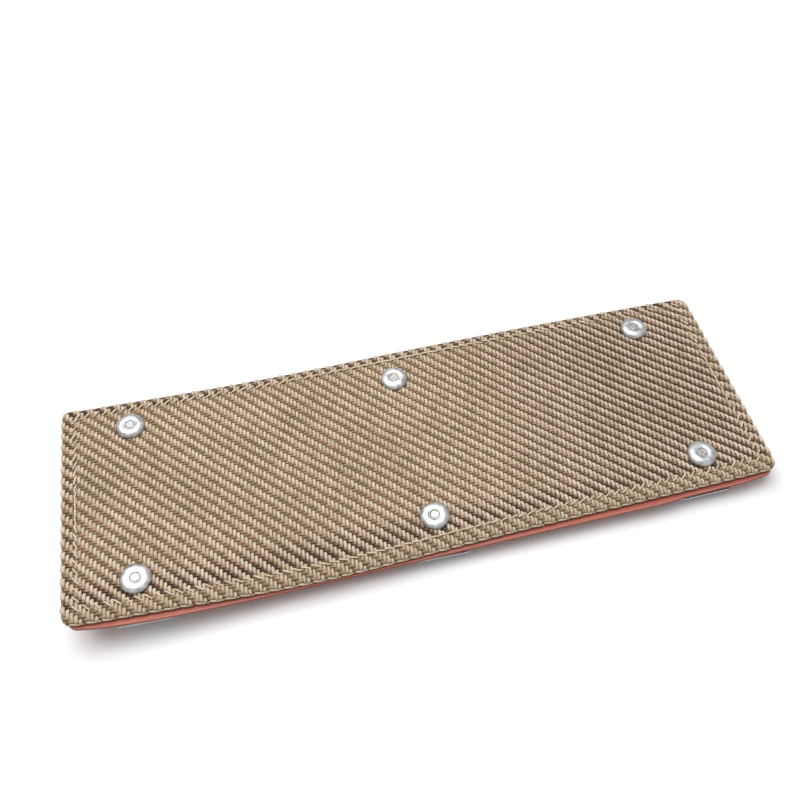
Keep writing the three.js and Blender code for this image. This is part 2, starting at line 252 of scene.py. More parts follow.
def made_plain(obj, tree, sizes):
    """Runs a tree on an object with its named inputs, and keeps the result as a plain mesh."""
    modifier = obj.modifiers.new(tree.name, "NODES")
    modifier.node_group = tree
    for item in tree.interface.items_tree:
        if item.in_out == "INPUT" and item.name in sizes:
            modifier[item.identifier] = sizes[item.name]
    depsgraph = bpy.context.evaluated_depsgraph_get()
    mesh = bpy.data.meshes.new_from_object(
        obj.evaluated_get(depsgraph), preserve_all_data_layers=True, depsgraph=depsgraph)
    obj.modifiers.clear()
    obj.data = mesh
    mesh.name = obj.name
    if not mesh.polygons:
        raise RuntimeError(f"{obj.name} came out empty")
    return obj


def finish_piece(obj, slot, *nodes):
    """Rides the piece on the object, and hides what it stands for."""
    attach(obj, "root")
    if nodes:
        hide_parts(*nodes)


# The pad's form


def curl(x):
    """Lift of the pad at x: a shallow bend, one slope over the left strap, a tighter bend past it."""
    zone_start = FLAT_CENTRE + FLAT_HALF_LENGTH
    zone_end = FLAT_CENTRE - FLAT_HALF_LENGTH
    past_start = np.maximum(0, BEND_START - np.maximum(x, zone_start))
    along_strap = np.maximum(0, zone_start - x)
    past_strap = np.maximum(0, zone_end - x)
    slope = past_start / BEND_RADIUS
    first_bend = past_start ** 2 / (2 * BEND_RADIUS)
    return first_bend + slope * along_strap + past_strap ** 2 / (2 * END_BEND_RADIUS)


def left_station():
    """Lift and tilt of the left strap and its rivets."""
    step = 0.5 * MM
    slope = (curl(LEFT_RIVET_X + step) - curl(LEFT_RIVET_X - step)) / (2 * step)
    return float(curl(LEFT_RIVET_X)), float(math.atan(slope))


def left_rivet(row):
    """Place of a left rivet, row across the strap's middle, at the backing's underside."""
    lift, tilt = left_station()
    turn = math.radians(LEFT_RIVET_TURN)
    aside = -row * math.sin(turn)
    return np.array([LEFT_RIVET_X + aside * math.cos(tilt), row * math.cos(turn),
                     BACKING_BOTTOM + lift + aside * math.sin(tilt)])


def rivet_distance(plan):
    """Distance from the nearest rivet's axis."""
    best = np.full(len(plan), 1.0)
    turn = math.radians(LEFT_RIVET_TURN)
    for x in (LEFT_RIVET_X, 0.0, RIVET_X):
        for y in (-RIVET_Y, RIVET_Y):
            aside = -math.sin(turn) * y if x < -MM else 0.0
            best = np.minimum(best, np.hypot(plan[:, 0] - x - aside, plan[:, 1] - y))
    return best


def cover_bow(x):
    """How far the cover's front and rear edges lie outside the straight ones."""
    share = np.clip(x / (PAD_LENGTH / 2 - CORNER_RADIUS), -1, 1)
    front = FRONT_BOW + FRONT_SWELL * np.exp(-((x - FRONT_SWELL_X) / (55 * MM)) ** 2)
    return front * (1 - share ** 6), REAR_BOW * (1 - share ** 2)


def backing_bow(x):
    """The same for the backing, which hangs out further towards both ends of the front."""
    share = np.clip(x / (PAD_LENGTH / 2 - CORNER_RADIUS - 2 * MM), -1, 1)
    drawn_in = np.exp(-((x - 118 * MM) / (15 * MM)) ** 4)
    front = 1.4 * MM + 0.9 * MM * np.clip(x / (120 * MM), -1, 1) ** 2 - 0.9 * MM * drawn_in
    return front * (1 - share ** 8), 2.7 * MM * (1 - share ** 2)


def spread(plan, bow):
    """Moves flat points to their places in plan: the bowed long edges and the slanted right end."""
    x, y = plan[:, 0], plan[:, 1]
    share = y / (PAD_WIDTH / 2)
    front, rear = bow(x)
    out = np.clip((x - END_RUN_START) / (PAD_LENGTH / 2 - END_RUN_START), 0, 1) ** 3
    return np.column_stack([
        x + out * (END_RUN + END_SLANT * share),
        y + np.where(y > 0, rear, -front) * share ** 2])


def from_stitches(flat):
    """Distance inside the stitched line, less than nothing in the hem, and the same to each side."""
    ends = STITCH_X - np.abs(flat[:, 0])
    rear = STITCH_REAR - flat[:, 1]
    front = flat[:, 1] - STITCH_FRONT
    return np.minimum(np.minimum(ends, rear), front), ends, rear, front


def ramp(values, start, end):
    """0 at start and 1 at end, smooth between and flat outside."""
    t = np.clip((values - start) / (end - start), 0, 1)
    return t * t * (3 - 2 * t)


def pressed(flat):
    """Where the needle and the fold press the floats down: by the stitches and in the front hem."""
    inside, ends, rear, front = from_stitches(flat)
    line = np.exp(-(inside / (1.0 * MM)) ** 2)
    behind = ramp(rear, 4.5 * MM, 0.5 * MM) * ramp(rear, -1.5 * MM, 0.0) * ramp(ends, 0.0, 2 * MM)
    band = 0.7 * ramp(front, 0.6 * MM, -0.8 * MM)
    return np.clip(np.maximum(np.maximum(0.9 * line, 0.9 * behind), band), 0, 1)


def openness(flat):
    """Where the cloth's holes are open, which the yarns and the ground cloth paint dark as shade: the
    right part, and the hems bent over a fold.
    """
    inside, ends, rear, front = from_stitches(flat)
    right = 0.8 * ramp(flat[:, 0], -5 * MM, 110 * MM)
    near = 0.9 * ramp(front, 16 * MM, 3 * MM)
    hem = ramp(rear, 0.4 * MM, -1.2 * MM) + 0.6 * ramp(ends, 0.4 * MM, -1.2 * MM)
    folded = 0.55 * ramp(front, 1.2 * MM, -0.2 * MM)
    return np.clip(np.maximum(np.maximum(right, near), hem), 0, 1) * (1 - folded)


def relief(flat):
    """Rise and fall of the cover: the stitched channel, the full hem and the rivets' dimples."""
    inside = from_stitches(flat)[0]
    channel = -0.42 * MM * np.exp(-(inside / (0.9 * MM)) ** 2)
    hem = 0.16 * MM * np.exp(-((inside + 2.6 * MM) / (1.5 * MM)) ** 2)
    near = np.clip((rivet_distance(spread(flat, cover_bow)) - HEAD_RADIUS) / (4.0 * MM), 0, 1)
    dimple = -0.55 * MM * (1 - near) ** 2
    wave = 0.10 * MM * np.sin(flat[:, 0] / (9.7 * MM) + 1.3) * np.cos(flat[:, 1] / (7.1 * MM) + 0.4)
    return channel + hem + dimple + wave * np.clip(inside / (6 * MM), 0, 1)


def laid_on_pad(points):
    """Cloth laid flat at (u, v, height) to its place: rolled over the pad's edge and curled."""
    flat = points[:, :2]
    height = points[:, 2]
    nearest = np.clip(flat, -INNER, INNER)
    outward = flat - nearest
    distance = np.linalg.norm(outward, axis=1)
    direction = outward / np.maximum(distance, 1e-9)[:, None]
    past = np.maximum(distance - ROLL_START, 0)
    angle = np.minimum(past / ROLL_STEP, math.pi)
    under = np.maximum(past - math.pi * ROLL_STEP, 0)
    at_corner = (np.abs(outward) > 1e-7).all(axis=1)
    under = np.where(at_corner, np.minimum(under, 0.9 * ROLL_START), under)
    rolled = ROLL_START + (ROLL_ACROSS + height) * np.sin(angle) - under
    reach = np.where(past > 0, rolled, distance)
    rise = (ROLL_DOWN + height) * np.cos(angle) - ROLL_DOWN
    rise += relief(flat) * np.clip(np.cos(angle), 0, 1)
    place = spread(nearest + direction * reach[:, None], cover_bow)
    return np.column_stack([place, GROUND_TOP + rise + curl(place[:, 0])])


def paint(obj, name, values):
    """Stores one value for each point of a mesh, for its material."""
    stored = obj.data.attributes.new(name, "FLOAT", "POINT")
    stored.data.foreach_set("value", np.asarray(values, np.float32))


def grid_lines(half, fine, step):
    """Lines from -half to half: close ones next to both ends, even ones between."""
    ends = np.array(fine)
    count = max(2, round(2 * (half - ends[-1]) / step))
    middle = np.linspace(-half + ends[-1], half - ends[-1], count + 1)
    return np.concatenate([-half + ends[:-1], middle, half - ends[:-1][::-1]])


def ring_samples(xs, ys, fan):
    """The outline of a grid in order, with the outward direction at each sample."""
    samples = []
    sides = [
        ([(x, ys[0]) for x in xs], -90),
        ([(xs[-1], y) for y in ys], 0),
        ([(x, ys[-1]) for x in xs[::-1]], 90),
        ([(xs[0], y) for y in ys[::-1]], 180),
    ]
    for points, heading in sides:
        outward = (math.cos(math.radians(heading)), math.sin(math.radians(heading)))
        samples += [(point, outward) for point in points]
        for k in range(1, fan):
            turn = math.radians(heading + 90 * k / fan)
            samples.append((points[-1], (math.cos(turn), math.sin(turn))))
    return samples


def pad_shell(name, xs, ys, rings, place):
    """A closed shell: a grid above, rings of samples round its edge, and the same grid below.

    rings are (distance outwards, height). place turns the flat points into their places."""
    samples = ring_samples(xs, ys, 5)
    flat = []
    faces = []
    for height in (rings[0][1], rings[-1][1]):
        first = len(flat)
        flat += [(x, y, height) for y in ys for x in xs]
        for j in range(len(ys) - 1):
            for i in range(len(xs) - 1):
                a = first + j * len(xs) + i
                quad = (a, a + 1, a + 1 + len(xs), a + len(xs))
                faces.append(quad if height == rings[0][1] else quad[::-1])
    first = len(flat)
    count = len(samples)
    for distance, height in rings:
        flat += [(p[0] + d[0] * distance, p[1] + d[1] * distance, height) for p, d in samples]
    for ring in range(len(rings) - 1):
        for k in range(count):
            a = first + ring * count + k
            b = first + ring * count + (k + 1) % count
            faces.append((a, a + count, b + count, b))
    return cleaned(new_object(name, place(np.array(flat)), faces))


# Materials


def cloth_ground_material():
    """Basalt and glass cloth, woven: what lies deep between the floats, and the plain rolled edge,
    painted darker the deeper it lies.
    """
    material, tree, shader, where = new_material("woven_basalt_ground", 0.92)
    depth = add(tree, "ShaderNodeAttribute", attribute_name="cloth_depth")
    patches = add(tree, "ShaderNodeTexNoise", {"Vector": where, "Scale": 160.0, "Detail": 3.0})
    # 0 on the rolled edge, a half between close yarns, 1 in open holes: darker with depth, and near
    # black in open holes, which is painted shade
    shaken = add(tree, "ShaderNodeMath", {0: patches.outputs["Fac"], 1: 0.3, 2: depth.outputs["Fac"]},
                 operation="MULTIPLY_ADD")
    level = add(tree, "ShaderNodeMath", {0: shaken.outputs[0], 1: 0.15}, operation="SUBTRACT")
    colour = add(tree, "ShaderNodeValToRGB", {"Fac": level.outputs[0]}, stops=[
        (0.0, linear("#958A71")), (0.3, linear("#7D6F56")), (0.5, linear("#64523B")),
        (0.85, linear("#31170D"))])
    tree.links.new(colour.outputs["Color"], shader.inputs["Base Color"])
    return material


def yarn_material(name, stops, pressed_colour, tail_shade, open_hole_shade, tail_share, hole_shade_weight):
    """Twisted basalt yarn: matt, with fibre streaks along it, and painted shade on one end of each
    float, where the next yarn would shade it. Floats that the needle presses flat are smoother and
    duller."""
    material, tree, shader, where = new_material(name, 0.85)
    tone = add(tree, "ShaderNodeAttribute", attribute_name="float_tone")
    along = add(tree, "ShaderNodeAttribute", attribute_name="float_along")
    flat = add(tree, "ShaderNodeAttribute", attribute_name="pressed")
    holes = add(tree, "ShaderNodeAttribute", attribute_name="openness")
    # Handling dirt and bleaching in patches 15 to 40 mm across
    patches = add(tree, "ShaderNodeTexNoise", {"Vector": where, "Scale": 45.0, "Detail": 4.0})
    mixed = add(tree, "ShaderNodeMix", {
        "Factor": 0.6, 2: tone.outputs["Fac"], 3: patches.outputs["Fac"]}, data_type="FLOAT")
    body = add(tree, "ShaderNodeValToRGB", {"Fac": mixed.outputs[0]}, stops=stops)
    # Painted shade: one end of each float goes darker, and darker again where the holes are open
    shade = add(tree, "ShaderNodeMix", {
        "Factor": holes.outputs["Fac"], 6: linear(tail_shade), 7: linear(open_hole_shade)}, data_type="RGBA")
    fade = add(tree, "ShaderNodeMapRange", {
        "Value": along.outputs["Fac"], "From Min": tail_share, "From Max": tail_share + 0.3,
        "To Min": 1.0, "To Max": 0.0}, interpolation_type="SMOOTHSTEP")
    # Painted shade: the widest holes darken the float further
    widest = add(tree, "ShaderNodeMath", {0: holes.outputs["Fac"], 1: 6.0}, operation="POWER")
    darker = add(tree, "ShaderNodeMath", {0: widest.outputs[0], 1: hole_shade_weight, 2: fade.outputs[0]},
                 operation="MULTIPLY_ADD", use_clamp=True)
    faded = add(tree, "ShaderNodeMix", {
        "Factor": darker.outputs[0], 6: body.outputs["Color"], 7: shade.outputs[2]}, data_type="RGBA")
    dulled = add(tree, "ShaderNodeMath", {0: flat.outputs["Fac"], 1: 0.55}, operation="MULTIPLY")
    worn = add(tree, "ShaderNodeMix", {
        "Factor": dulled.outputs[0], 6: faded.outputs[2], 7: linear(pressed_colour)}, data_type="RGBA")
    tree.links.new(worn.outputs[2], shader.inputs["Base Color"])
    shader.inputs["Sheen Weight"].default_value = 0.1
    # Filaments about 0.2 mm apart, drawn coarser than real ones so that they show
    stretched = add(tree, "ShaderNodeMapping", {"Vector": where, "Scale": (5000.0, 900.0, 900.0)})
    streaks = add(tree, "ShaderNodeTexNoise", {"Vector": stretched.outputs[0], "Scale": 1.0})
    bump = add(tree, "ShaderNodeBump", {
        "Height": streaks.outputs["Fac"], "Strength": 0.3, "Distance": 0.1 * MM})
    tree.links.new(bump.outputs[0], shader.inputs["Normal"])
    return material


def thread_material():
    """Glass sewing thread, twisted: pale with a pinkish cast."""
    material, tree, shader, where = new_material("twisted_glass_thread", 0.7)
    noise = add(tree, "ShaderNodeTexNoise", {"Vector": where, "Scale": 220.0, "Detail": 2.0})
    colour = add(tree, "ShaderNodeValToRGB", {"Fac": noise.outputs["Fac"]}, stops=[
        (0.3, linear("#C2AB94")), (0.7, linear("#DDCBB5"))])
    tree.links.new(colour.outputs["Color"], shader.inputs["Base Color"])
    return material


def backing_material(settings):
    """Glass cloth coated in red silicone: a soft sheen over the cloth's faint print."""
    material, tree, shader, where = new_material("silicone_coated_glass_cloth", 0.45)
    red = list(settings.backing_colour) + [1.0]
    patches = add(tree, "ShaderNodeTexNoise", {"Vector": where, "Scale": 70.0, "Detail": 4.0})
    colour = add(tree, "ShaderNodeMix", {
        "Factor": patches.outputs["Fac"], 6: red, 7: linear("#B86552")}, data_type="RGBA")
    # Round the fold: a painted highlight above and painted shade below
    rim = add(tree, "ShaderNodeAttribute", attribute_name="rim")
    bands = add(tree, "ShaderNodeValToRGB", {"Fac": rim.outputs["Fac"]}, stops=[
        (0.0, linear("#7A3328")), (0.3, linear("#5F2019")), (0.6, linear("#64241B")),
        (0.7, linear("#83392C")), (0.79, linear("#AB6351")), (0.92, linear("#C48776")),
        (0.985, linear("#A04A3A"))])
    edge = add(tree, "ShaderNodeAttribute", attribute_name="at_edge")
    share = add(tree, "ShaderNodeMath", {0: edge.outputs["Fac"], 1: 0.85}, operation="MULTIPLY")
    rim_light_and_shade = add(tree, "ShaderNodeMix", {
        "Factor": share.outputs[0], 6: colour.outputs[2], 7: bands.outputs["Color"]}, data_type="RGBA")
    tree.links.new(rim_light_and_shade.outputs[2], shader.inputs["Base Color"])
    # The cloth's yarns, 0.8 mm apart, print through the coating
    threads = 2 * math.pi / (0.8 * MM)
    print_x = add(tree, "ShaderNodeTexWave", {
        "Vector": where, "Scale": threads / 20}, bands_direction="X")
    print_y = add(tree, "ShaderNodeTexWave", {
        "Vector": where, "Scale": threads / 20}, bands_direction="Y")
    both = add(tree, "ShaderNodeMath", {0: print_x.outputs["Fac"], 1: print_y.outputs["Fac"]},
               operation="MULTIPLY")
    bump = add(tree, "ShaderNodeBump", {
        "Height": both.outputs[0], "Strength": 0.35, "Distance": 0.15 * MM})
    tree.links.new(bump.outputs[0], shader.inputs["Normal"])
    return material


def batt_material():
    """Needled glass fibre batt: off-white, fully matt, felted."""
    material, tree, shader, where = new_material("needled_glass_fibre", 1.0)
    noise = add(tree, "ShaderNodeTexNoise", {"Vector": where, "Scale": 900.0, "Detail": 5.0})
    colour = add(tree, "ShaderNodeValToRGB", {"Fac": noise.outputs["Fac"]}, stops=[
        (0.3, linear("#D8D0BC")), (0.7, linear("#F0EBDD"))])
    tree.links.new(colour.outputs["Color"], shader.inputs["Base Color"])
    bump = add(tree, "ShaderNodeBump", {
        "Height": noise.outputs["Fac"], "Strength": 0.6, "Distance": 0.3 * MM})
    tree.links.new(bump.outputs[0], shader.inputs["Normal"])
    return material


def metal_material(name, dark, light, roughness, stretch, depth):
    """A bare metal: its own tint, and fine marks drawn out along the way that it was worked."""
    material, tree, shader, where = new_material(name, roughness)
    drawn = add(tree, "ShaderNodeMapping", {"Vector": where, "Scale": stretch})
    marks = add(tree, "ShaderNodeTexNoise", {"Vector": drawn.outputs[0], "Scale": 1.0, "Detail": 3.0})
    colour = add(tree, "ShaderNodeValToRGB", {"Fac": marks.outputs["Fac"]}, stops=[
        (0.35, linear(dark)), (0.65, linear(light))])
    rough = add(tree, "ShaderNodeMapRange", {
        "Value": marks.outputs["Fac"], "From Min": 0.3, "From Max": 0.7,
        "To Min": roughness * 0.8, "To Max": roughness * 1.25})
    bump = add(tree, "ShaderNodeBump", {
        "Height": marks.outputs["Fac"], "Strength": 0.2, "Distance": depth})
    tree.links.new(colour.outputs["Color"], shader.inputs["Base Color"])
    tree.links.new(rough.outputs[0], shader.inputs["Roughness"])
    tree.links.new(bump.outputs[0], shader.inputs["Normal"])
    shader.inputs["Metallic"].default_value = 1.0
    return material


# Operators, one for each piece or group of like pieces


class HEATSHIELD_OT_ground(Operator):
    """Build the cover's ground cloth, rolled under and stitched down at the hem"""

    bl_idname = "heatshield.ground"
    bl_label = "Cover ground"

    def execute(self, context):
        fine = np.array([0, 0.5, 1.0, 1.5, 2.0, 2.5, 3.0, 3.6, 4.5]) * MM
        xs = grid_lines(INNER[0], fine, 2.4 * MM)
        ys = grid_lines(INNER[1], fine, 2.4 * MM)
        roll = ROLL_START + math.pi * ROLL_STEP
        outwards = [0.0, 0.6 * MM, 1.2 * MM]
        outwards += list(np.linspace(ROLL_START, roll, 13))
        outwards += [roll + 2 * MM, roll + HEM_WIDTH]
        rings = [(d, 0.0) for d in outwards] + [(d, -CLOTH_THICKNESS) for d in outwards[::-1]]
        ground = pad_shell("cover_ground", xs, ys, rings, laid_on_pad)
        ground.data.materials.append(cloth_ground_material())
        # The rear edge and the two ends show plain cloth where the yarns' floats go under
        plan = points_of(ground)[:, :2]
        from_edge = PAD_WIDTH / 2 - np.abs(plan[:, 1])
        from_end = PAD_LENGTH / 2 - np.abs(plan[:, 0])
        rear = 1 - ramp(-plan[:, 1], 20 * MM, 30 * MM)
        plain = np.maximum(np.minimum(ramp(from_edge, 2.6 * MM, 0.9 * MM), rear),
                           ramp(from_end, 2.6 * MM, MM))
        # cloth_depth: none on the plain edge, more between the floats, most in open holes; its darkening
        # is the cloth's own dark colour with painted shade, near black in the holes
        paint(ground, "cloth_depth", (0.5 + 0.5 * openness(plan)) * (1 - plain))
        finish_piece(ground, "basalt_cloth", "outer_cover")
        return {"FINISHED"}


def float_tree(name, sizes):
    """A tree that lays yarn floats in 2/2 twill order, flat and centred.

    One float bridges two crossing yarns, and the next yarn's floats lie one step on, so the rows
    of floats run at 45 degrees. Yarns lie across the line of yarns, which is along X."""
    tree, given, result = node_tree(name, sizes)
    size = given.outputs
    index = add(tree, "GeometryNodeInputIndex").outputs[0]
    column = add(tree, "FunctionNodeIntegerMath", {0: index, 1: size["Rows"]}, operation="DIVIDE")
    row = add(tree, "FunctionNodeIntegerMath", {0: index, 1: size["Rows"]}, operation="MODULO")
    stagger = add(tree, "FunctionNodeIntegerMath", {0: column.outputs[0], 1: 4}, operation="MODULO")
    steps = add(tree, "ShaderNodeMath", {0: row.outputs[0], 1: 4.0}, operation="MULTIPLY")
    along = add(tree, "ShaderNodeMath", {0: steps.outputs[0], 1: stagger.outputs[0]},
                operation="SUBTRACT")
    place = add(tree, "ShaderNodeCombineXYZ", {"X": column.outputs[0], "Y": along.outputs[0]})
    spot = add(tree, "ShaderNodeVectorMath", {
        0: place.outputs[0], 1: size["Pitch"], 2: size["First float"]}, operation="MULTIPLY_ADD")
    count = add(tree, "FunctionNodeIntegerMath", {0: size["Columns"], 1: size["Rows"]},
                operation="MULTIPLY")
    spots = add(tree, "GeometryNodePoints", {"Count": count.outputs[0], "Position": spot.outputs[0]})

    path = add(tree, "GeometryNodeCurveQuadraticBezier", {
        "Resolution": 4, "Start": size["Start"], "Middle": size["Peak"], "End": size["End"]})
    # The yarn swells from both roots to its middle, and its start is thinner by the taper
    share = add(tree, "GeometryNodeSplineParameter").outputs["Factor"]
    turned = add(tree, "ShaderNodeMath", {0: share, 1: math.pi}, operation="MULTIPLY")
    belly = add(tree, "ShaderNodeMath", {0: turned.outputs[0]}, operation="SINE")
    full = add(tree, "ShaderNodeMath", {0: belly.outputs[0], 1: 0.35, 2: 0.65},
               operation="MULTIPLY_ADD")
    left = add(tree, "ShaderNodeMath", {0: 1.0, 1: share}, operation="SUBTRACT")
    squared = add(tree, "ShaderNodeMath", {0: left.outputs[0], 1: left.outputs[0]},
                  operation="MULTIPLY")
    thinned = add(tree, "ShaderNodeMath", {0: squared.outputs[0], 1: size["Taper"]},
                  operation="MULTIPLY")
    swell = add(tree, "ShaderNodeMath", {0: full.outputs[0], 1: thinned.outputs[0]},
                operation="SUBTRACT")
    swollen = add(tree, "GeometryNodeSetCurveRadius", {
        "Curve": path.outputs[0], "Radius": swell.outputs[0]})
    marked = add(tree, "GeometryNodeStoreNamedAttribute", {
        "Geometry": swollen.outputs[0], "Name": "float_along", "Value": share},
        data_type="FLOAT", domain="POINT")
    circle = add(tree, "GeometryNodeCurvePrimitiveCircle", {"Resolution": 5, "Radius": 1.0})
    section = add(tree, "GeometryNodeTransform", {
        "Geometry": circle.outputs[0], "Scale": size["Section"]})
    yarn = add(tree, "GeometryNodeCurveToMesh", {
        "Curve": marked.outputs[0], "Profile Curve": section.outputs[0], "Fill Caps": True})

    turn = add(tree, "FunctionNodeRandomValue", {
        0: size["Least turn"], 1: size["Most turn"], "Seed": size["Seed"]}, data_type="FLOAT_VECTOR")
    stretch = add(tree, "FunctionNodeRandomValue", {
        0: (0.94, 0.93, 0.92), 1: (1.04, 1.06, 1.08), "Seed": size["Seed"]}, data_type="FLOAT_VECTOR")
    placed = add(tree, "GeometryNodeInstanceOnPoints", {
        "Points": spots.outputs[0], "Instance": yarn.outputs[0], "Rotation": turn.outputs[0],
        "Scale": stretch.outputs[0]})
    tone = add(tree, "FunctionNodeRandomValue", {"Seed": size["Seed"]}, data_type="FLOAT")
    toned = add(tree, "GeometryNodeStoreNamedAttribute", {
        "Geometry": placed.outputs[0], "Name": "float_tone", "Value": tone.outputs[1]},
        data_type="FLOAT", domain="INSTANCE")
    end_tree(tree, toned, size, result)
    return tree


def float_sizes(grid, pitch, offset, length, rise, root, section, seed, material,
                lean=0.0, taper=0.1, slant=0.0):
    """The inputs of float_tree: grid is (columns, rows), section (half width, half height)."""
    columns, rows = grid
    return {
        "Columns": columns, "Rows": rows, "Pitch": (pitch, pitch, 0.0),
        "First float": (-columns / 2 * pitch, (offset - 2 * rows) * pitch, 0.0),
        "Start": (0.0, -length / 2, -root), "End": (0.0, length / 2, -root),
        "Peak": (0.0, lean * length, 2 * rise + root), "Section": (*section, 1.0), "Taper": taper,
        "Least turn": (-0.03, -0.03, slant - 0.06), "Most turn": (0.03, 0.03, slant + 0.06),
        "Seed": seed, "Material": material}


def keep_on_cover(obj, count):
    """Deletes the floats under a rivet head or past the rolled edge, and dives the rest there.

    count is the number of floats, which all have the same number of points."""
    points = points_of(obj)
    flat = points[:, :2]
    past = np.linalg.norm(flat - np.clip(flat, -INNER, INNER), axis=1)
    # The angle round the roll at which the last floats go under: rear, front and both ends
    angle = np.where(flat[:, 1] > INNER[1], 0.6, np.where(flat[:, 1] < -INNER[1], 1.15, 0.9))
    over = past - (ROLL_START + angle * ROLL_STEP)
    points[:, 2] -= 1.5 * np.clip(over, 0, MM)
    move_points(obj, points)
    hidden = over.reshape(count, -1).min(axis=1) > 0.2 * MM
    from_rivet = rivet_distance(spread(flat, cover_bow)).reshape(count, -1).mean(axis=1)
    under_head = from_rivet < HEAD_RADIUS - MM
    lost = np.nonzero(np.repeat(hidden | under_head, len(points) // count))[0]
    work = bmesh.new()
    work.from_mesh(obj.data)
    work.verts.ensure_lookup_table()
    bmesh.ops.delete(work, geom=[work.verts[k] for k in lost], context="VERTS")
    work.to_mesh(obj.data)
    work.free()


class HEATSHIELD_OT_yarns(Operator):
    """Build the cover's twill: warp floats, the weft floats between them and the front edge's yarns"""

    bl_idname = "heatshield.yarns"
    bl_label = "Cover yarns"

    def execute(self, context):
        settings = context.scene.heatshield
        pale = [(0.30, linear("#BCA990")), (0.48, linear("#C9B69F")), (0.70, linear("#D3C2AC"))]
        # The weft floats are drawn darker than the warp: partly their own tone, partly painted shade for
        # their low place between the ridges
        weft_tone_and_shade = [
            (0.34, linear("#866F52")), (0.46, linear("#977A5D")), (0.56, linear("#AB856F")),
            (0.68, linear("#B8987D"))]
        pitch, length, seed = settings.yarn_pitch, settings.float_length, settings.seed
        # After the stops: the pressed floats' colour, painted shade on one end of a float, painted shade
        # in open holes
        warp = float_sizes(
            (216, 20), pitch, 2.0, length, settings.float_rise, 0.42 * MM, (0.74 * MM, 0.40 * MM), seed,
            yarn_material("basalt_yarn_warp", pale, "#AC9677", "#A4896C", "#7A4E34", 0.12, 0.0),
            lean=0.18)
        weft = float_sizes(
            (76, 56), pitch, 2.5, 0.92 * length, 0.24 * MM, 0.40 * MM, (0.70 * MM, 0.32 * MM), seed + 1,
            yarn_material("basalt_yarn_weft", weft_tone_and_shade, "#9C8563", "#80674B", "#2C0C04", 0.28, 0.75),
            lean=0.16, taper=0.4)
        # The ridges run out on the rolled front edge as slanting steps, one to a ridge
        edge = float_sizes(
            (1, 52), pitch, 0.0, 5.5 * MM, 0.12 * MM, 0.10 * MM, (0.42 * MM, 0.42 * MM), seed + 2,
            yarn_material("basalt_yarn_edge", pale, "#BFAB8E", "#957C60", "#957C60", -0.3, 0.0),
            slant=0.10)
        past_front = ROLL_START + 1.30 * ROLL_STEP
        for name, sizes, turned in (("cover_warp", warp, False), ("cover_weft", weft, True),
                                    ("hem_edge_yarns", edge, True)):
            obj = made_plain(new_object(name, [(0, 0, 0)], []), float_tree(name, sizes), sizes)
            points = points_of(obj)
            if turned:
                # These lie square to the warp, so their rows run beside the warp's
                points = points[:, [1, 0, 2]]
                obj.data.flip_normals()
            if sizes is edge:
                points[:, 1] -= points[:, 1].mean() + INNER[1] + past_front
                move_points(obj, points)
            else:
                points[:, 2] *= 1 - 0.55 * pressed(points[:, :2])
                if turned:
                    points[:, 2] -= 0.14 * MM * openness(points[:, :2])
                move_points(obj, points)
                keep_on_cover(obj, sizes["Columns"] * sizes["Rows"])
            points = points_of(obj)
            paint(obj, "pressed", pressed(points[:, :2]))
            # openness carries painted shade: the floats go darker where the holes are open
            paint(obj, "openness", openness(points[:, :2]))
            move_points(obj, laid_on_pad(points))
            obj.data.shade_smooth()
            finish_piece(obj, "basalt_cloth")
        return {"FINISHED"}


class HEATSHIELD_OT_stitching(Operator):
    """Build the hem's line of stitches round the pad"""

    bl_idname = "heatshield.stitching"
    bl_label = "Hem stitching"

    def execute(self, context):
        settings = context.scene.heatshield
        reach = 0.45 * settings.stitch_pitch
        dip = -0.35 * MM
        sizes = {
            "Run length": 2 * STITCH_X, "Run width": STITCH_REAR - STITCH_FRONT,
            "Stitch pitch": settings.stitch_pitch, "Thread radius": settings.thread_radius,
            "Start": (dip, 0.0, -reach), "End": (dip, 0.0, reach), "Material": thread_material()}
        tree, given, result = node_tree("hem_stitching", sizes)
        size = given.outputs
        run = add(tree, "GeometryNodeCurvePrimitiveQuadrilateral", {
            "Width": size["Run length"], "Height": size["Run width"]})
        marks = add(tree, "GeometryNodeCurveToPoints", {
            "Curve": run.outputs[0], "Length": size["Stitch pitch"]}, mode="LENGTH")
        thread = add(tree, "GeometryNodeCurveQuadraticBezier", {
            "Resolution": 8, "Start": size["Start"], "Middle": (0.75 * MM, 0.0, 0.0),
            "End": size["End"]})
        section = add(tree, "GeometryNodeCurvePrimitiveCircle", {
            "Resolution": 8, "Radius": size["Thread radius"]})
        stitch = add(tree, "GeometryNodeCurveToMesh", {
            "Curve": thread.outputs[0], "Profile Curve": section.outputs[0], "Fill Caps": True})
        facing = add(tree, "FunctionNodeAxesToRotation", {
            "Primary Axis": marks.outputs["Tangent"], "Secondary Axis": (0.0, 0.0, 1.0)},
            primary_axis="Z", secondary_axis="X")
        placed = add(tree, "GeometryNodeInstanceOnPoints", {
            "Points": marks.outputs["Points"], "Instance": stitch.outputs[0],
            "Rotation": facing.outputs[0]})
        end_tree(tree, placed, size, result)
        stitches = made_plain(new_object("hem_stitching", [(0, 0, 0)], []), tree, sizes)
        points = points_of(stitches)
        # The thread lies on the yarns of its channel, which are pressed down to half their height
        points[:, 1] += (STITCH_REAR + STITCH_FRONT) / 2
        points[:, 2] += 0.85 * MM
        move_points(stitches, laid_on_pad(points))
        stitches.data.shade_smooth()
        finish_piece(stitches, "basalt_cloth")
        return {"FINISHED"}


def slab_place(points, bow=backing_bow):
    """A layer below the cover: it follows the bowed edges and the curl."""
    place = spread(points[:, :2], bow)
    return np.column_stack([place, points[:, 2] + curl(place[:, 0])])


